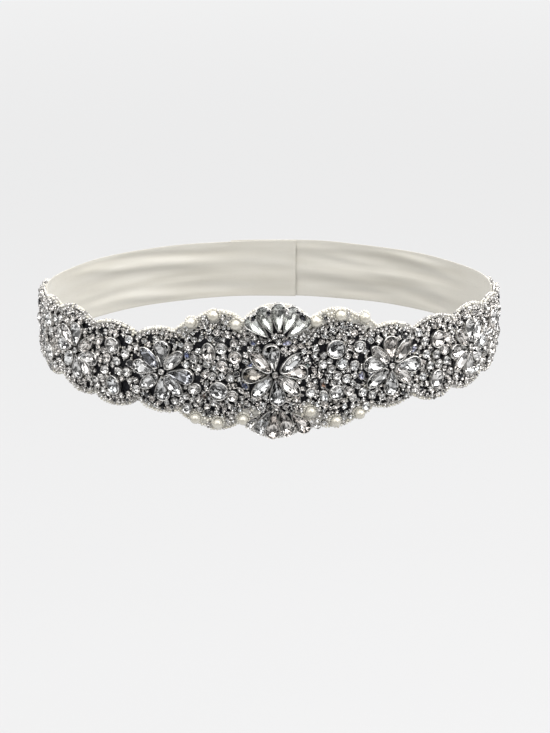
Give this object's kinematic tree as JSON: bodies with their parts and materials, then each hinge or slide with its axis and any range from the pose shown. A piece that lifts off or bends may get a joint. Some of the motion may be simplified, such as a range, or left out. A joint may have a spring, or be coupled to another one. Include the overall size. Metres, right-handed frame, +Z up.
{
  "type": "bridal sash",
  "caption": "Waist sash worn as a ring: a satin ribbon lapped at the centre back, with a scalloped beaded applique of crystal flowers, fans and pearls across the front and sides.",
  "frame": {"origin": "centre of the waist ring, level with the middle of the ribbon's height: where the wearer's waist holds it", "axes": "+Z up along the wearer, the front of the sash faces -Y, +X to the right of a viewer in front"},
  "size_m": [0.265, 0.1977, 0.077],
  "materials": {
    "satin_ribbon": "ivory satin, soft sheen",
    "net_backing": "ivory net over felt, matt",
    "silver": "silver-plated settings and small foiled stones, slightly darkened in the recesses",
    "crystal": "clear cut glass with a silver foil back",
    "pearl": "ivory pearl, nacre sheen"
  },
  "bodies": {
    "root": {"backing": "net_backing", "bead_field_left": "silver", "bead_field_right": "silver", "fan_bottom": "crystal", "fan_top": "crystal", "flower_centre": "crystal", "flower_far_left": "crystal", "flower_far_right": "crystal", "flower_left": "crystal", "flower_right": "crystal", "pearl_bottom_left_inner": "pearl", "pearl_bottom_left_middle": "pearl", "pearl_bottom_left_outer": "pearl", "pearl_bottom_right_inner": "pearl", "pearl_bottom_right_middle": "pearl", "pearl_bottom_right_outer": "pearl", "pearl_top_left_inner": "pearl", "pearl_top_left_middle": "pearl", "pearl_top_left_outer": "pearl", "pearl_top_right_inner": "pearl", "pearl_top_right_middle": "pearl", "pearl_top_right_outer": "pearl", "ribbon": "satin_ribbon", "stone_far_left_high": "crystal", "stone_far_left_low": "crystal", "stone_far_right_high": "crystal", "stone_far_right_low": "crystal", "stone_low_right": "crystal", "stone_oval_left": "crystal", "stone_pair_left_high": "crystal", "stone_pair_left_low": "crystal", "stone_pair_right_high": "crystal", "stone_pair_right_low": "crystal", "stone_round_left": "crystal", "stone_round_right": "crystal"}
  },
  "joints": []
}
